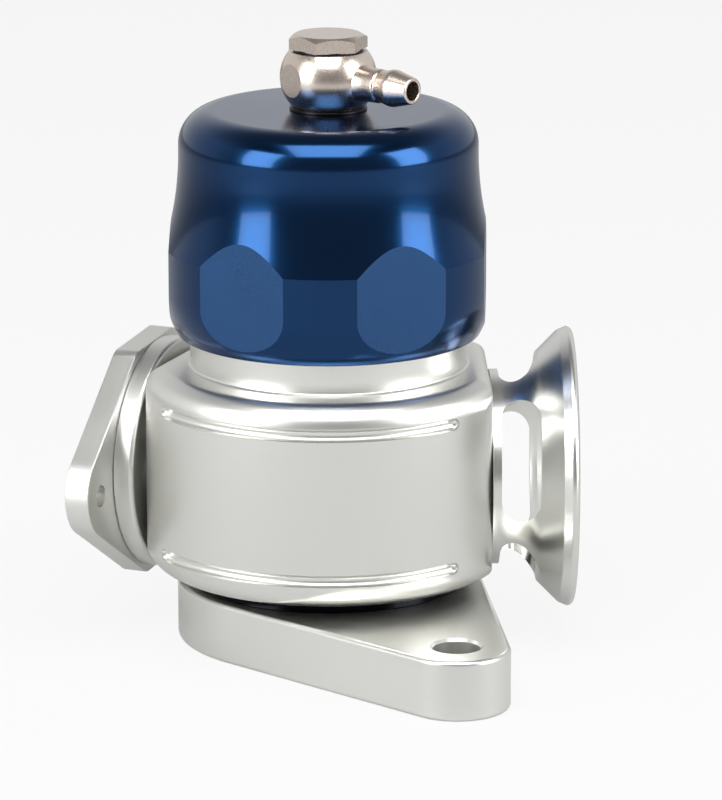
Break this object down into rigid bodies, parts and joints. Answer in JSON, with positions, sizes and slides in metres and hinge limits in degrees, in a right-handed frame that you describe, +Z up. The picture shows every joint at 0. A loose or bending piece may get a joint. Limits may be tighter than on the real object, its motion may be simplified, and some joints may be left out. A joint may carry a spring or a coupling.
{
  "type": "blow-off valve",
  "caption": "Turbo blow-off valve: piston body on an eared base flange, with a windowed vent trumpet, a recirculation flange, a screw-on spring cap and a hose fitting on top.",
  "frame": {"origin": "centre of the inlet bore at the underside of the base flange", "axes": "+Z up the piston axis towards the cap; +X along the vent trumpet, out of its mouth"},
  "size_m": [0.0964, 0.1101, 0.118],
  "materials": {
    "machined_aluminium": "satin machined",
    "polished_aluminium": "bright turned",
    "piston_aluminium": "hard anodised, matt",
    "blue_anodised": "glossy dark blue anodised",
    "nickel_plate": "warm nickel plate",
    "seal_rubber": "moulded",
    "ring_steel": "phosphated",
    "spring_steel": "drawn wire",
    "guide_plastic": "filled PTFE",
    "sealing_washer": "dull"
  },
  "bodies": {
    "base": {"base_flange": "machined_aluminium", "base_o_ring": "seal_rubber", "base_retaining_ring": "ring_steel"},
    "housing": {"valve_body": "machined_aluminium", "base_collar": "blue_anodised", "trumpet": "polished_aluminium", "trumpet_o_ring": "seal_rubber", "trumpet_snap_ring": "ring_steel", "recirc_snap_ring": "ring_steel", "cap_o_ring": "seal_rubber", "main_spring": "spring_steel"},
    "recirc": {"recirc_flange": "polished_aluminium", "recirc_o_ring": "seal_rubber"},
    "piston": {"piston": "piston_aluminium", "piston_guide_ring": "guide_plastic", "piston_seal": "seal_rubber", "nose_seal": "seal_rubber"},
    "seat": {"spring_seat": "piston_aluminium", "thrust_washer": "guide_plastic"},
    "top": {"cap": "blue_anodised", "banjo_bolt": "nickel_plate", "banjo_lower_washer": "sealing_washer"},
    "fitting": {"banjo_ring": "nickel_plate", "hose_barb": "nickel_plate", "banjo_upper_washer": "sealing_washer"}
  },
  "joints": [
    {"name": "body_clocking", "type": "hinge", "parent": "base", "child": "housing", "pos_m": [0, 0, 0], "axis": [0, 0, 1], "range_deg": [-2, 50]},
    {"name": "recirc_clocking", "type": "hinge", "parent": "housing", "child": "recirc", "pos_m": [0, 0, 0.0326], "axis": [-0.9205, 0.3907, 0], "range_deg": [-20, 20]},
    {"name": "piston_lift", "type": "slide", "parent": "housing", "child": "piston", "axis": [0, 0, 1], "range_m": [0, 0.014], "stiffness_N_per_m": 5700, "springref_m": -0.01, "deforming": ["main_spring"]},
    {"name": "preload_slide", "type": "slide", "parent": "housing", "child": "seat", "axis": [0, 0, 1], "range_m": [-0.0046, 0]},
    {"name": "cap_turn", "type": "hinge", "parent": "seat", "child": "top", "pos_m": [0, 0, 0], "axis": [0, 0, 1], "range_deg": [-1080, 0]},
    {"name": "banjo_swivel", "type": "hinge", "parent": "top", "child": "fitting", "pos_m": [0, 0, 0.1088], "axis": [0, 0, 1], "continuous": true}
  ],
  "couplings": [
    {"joint": "preload_slide", "follows": "cap_turn", "m_per_rad": 0.00023873}
  ]
}
